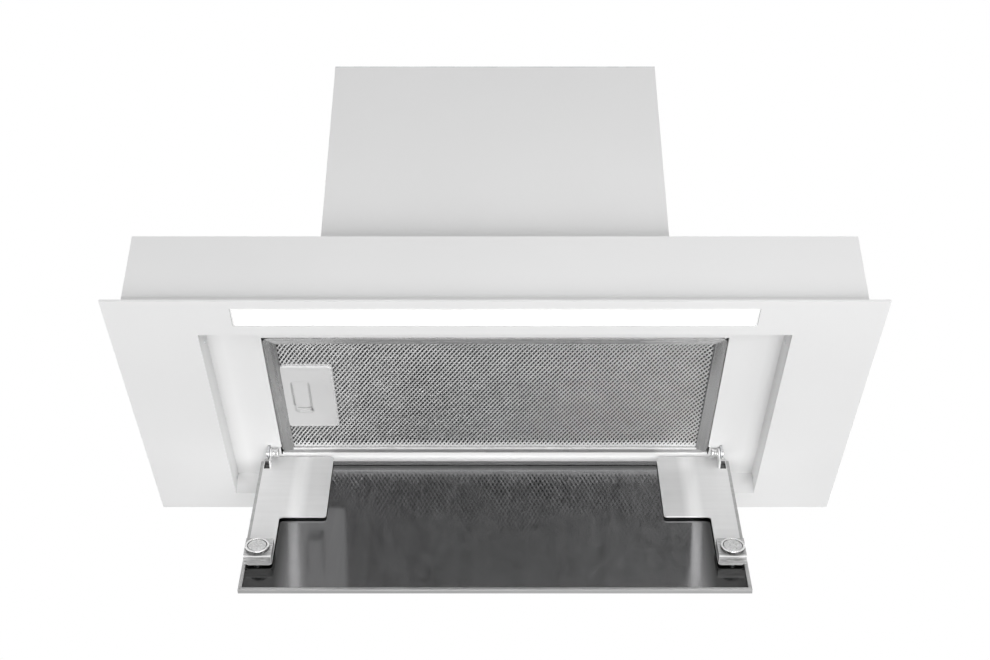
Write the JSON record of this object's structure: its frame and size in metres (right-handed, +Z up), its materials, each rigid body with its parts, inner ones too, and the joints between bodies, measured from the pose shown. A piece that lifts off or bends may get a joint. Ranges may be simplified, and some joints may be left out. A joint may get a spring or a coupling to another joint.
{
  "type": "built-in range hood",
  "caption": "White built-in range hood: flanged casing with blower housing, lit front strip, grease filter and a hinged perimeter panel held shut by magnets.",
  "frame": {"origin": "middle of the cabinet cut-out on the seat plane, the upper face of the flange", "axes": "+X to the right seen from the front, +Y to the back, +Z up"},
  "size_m": [0.598, 0.3, 0.4593],
  "materials": {
    "white_paint": "fine matte powder coat",
    "steel_skin": "fine brushed stainless",
    "dark_plate": "dark polished steel",
    "arm_steel": "satin stainless",
    "zinc_steel": "zinc plated",
    "bright_plate": "nickel plated",
    "filter_aluminium": "expanded aluminium mesh",
    "frame_aluminium": "rolled aluminium",
    "grey_plastic": "smooth moulding",
    "black_plastic": "moulded",
    "white_plastic": "moulded",
    "diffuser": "lit opal diffuser",
    "board": "circuit board",
    "chip": "light chip",
    "core": "stiffening board",
    "rubber": "rubber bush"
  },
  "bodies": {
    "hood": {"back_screws": "zinc_steel", "blower_screws": "zinc_steel", "bottom_pan": "white_paint", "cable_gland": "black_plastic", "capacitor": "white_plastic", "capacitor_clip": "zinc_steel", "casing_shell": "white_paint", "collar_screws": "zinc_steel", "control_board": "board", "control_box": "black_plastic", "control_lid": "black_plastic", "filter_frame": "frame_aluminium", "filter_handle": "grey_plastic", "filter_hooks": "frame_aluminium", "filter_mesh": "filter_aluminium", "filter_seat": "zinc_steel", "flap_pin": "zinc_steel", "gland_nut": "black_plastic", "hinge_bracket_left": "zinc_steel", "hinge_bracket_right": "zinc_steel", "hinge_clips": "bright_plate", "hinge_pin_left": "bright_plate", "hinge_pin_right": "bright_plate", "housing_back": "zinc_steel", "housing_lid": "zinc_steel", "housing_screws": "zinc_steel", "housing_wrap": "white_paint", "latch_spring": "zinc_steel", "led_board": "board", "led_channel": "frame_aluminium", "led_chips": "chip", "led_diffuser": "diffuser", "led_driver": "black_plastic", "led_end_caps": "black_plastic", "lid_screws": "zinc_steel", "motor": "zinc_steel", "motor_bracket": "zinc_steel", "motor_bushes": "rubber", "outlet_collar": "black_plastic", "recess_rivets": "white_paint", "scroll_left": "black_plastic", "scroll_right": "black_plastic", "scroll_screws": "zinc_steel", "terminal_block": "black_plastic"},
    "panel": {"panel_skin": "steel_skin", "panel_core": "core", "panel_inner_plate": "dark_plate", "arm_left": "arm_steel", "arm_right": "arm_steel", "arm_spacers": "rubber", "magnet_blocks": "bright_plate", "magnet_cups": "bright_plate", "magnet_discs": "bright_plate", "block_screws": "zinc_steel"},
    "impeller": {"impeller": "black_plastic", "motor_shaft": "zinc_steel", "impeller_nut": "zinc_steel"},
    "flap_front": {"flap_front": "black_plastic"},
    "flap_rear": {"flap_rear": "black_plastic"},
    "latch": {"filter_latch": "grey_plastic"}
  },
  "joints": [
    {"name": "panel_hinge", "type": "hinge", "parent": "hood", "child": "panel", "pos_m": [0, 0.0857, 0.0145], "axis": [-1, 0, 0], "range_deg": [0, 71.9]},
    {"name": "filter_latch_slide", "type": "slide", "parent": "hood", "child": "latch", "axis": [1, 0, 0], "range_m": [0, 0.0055], "stiffness_N_per_m": 300, "springref_m": -0.004, "deforming": ["latch_spring"]},
    {"name": "flap_front_hinge", "type": "hinge", "parent": "hood", "child": "flap_front", "pos_m": [0, 0, 0.2875], "axis": [-1, 0, 0], "range_deg": [0, 78]},
    {"name": "flap_rear_hinge", "type": "hinge", "parent": "hood", "child": "flap_rear", "pos_m": [0, 0, 0.2875], "axis": [1, 0, 0], "range_deg": [0, 78]},
    {"name": "impeller_spin", "type": "hinge", "parent": "hood", "child": "impeller", "pos_m": [0, -0.032, 0.1615], "axis": [1, 0, 0], "continuous": true}
  ]
}
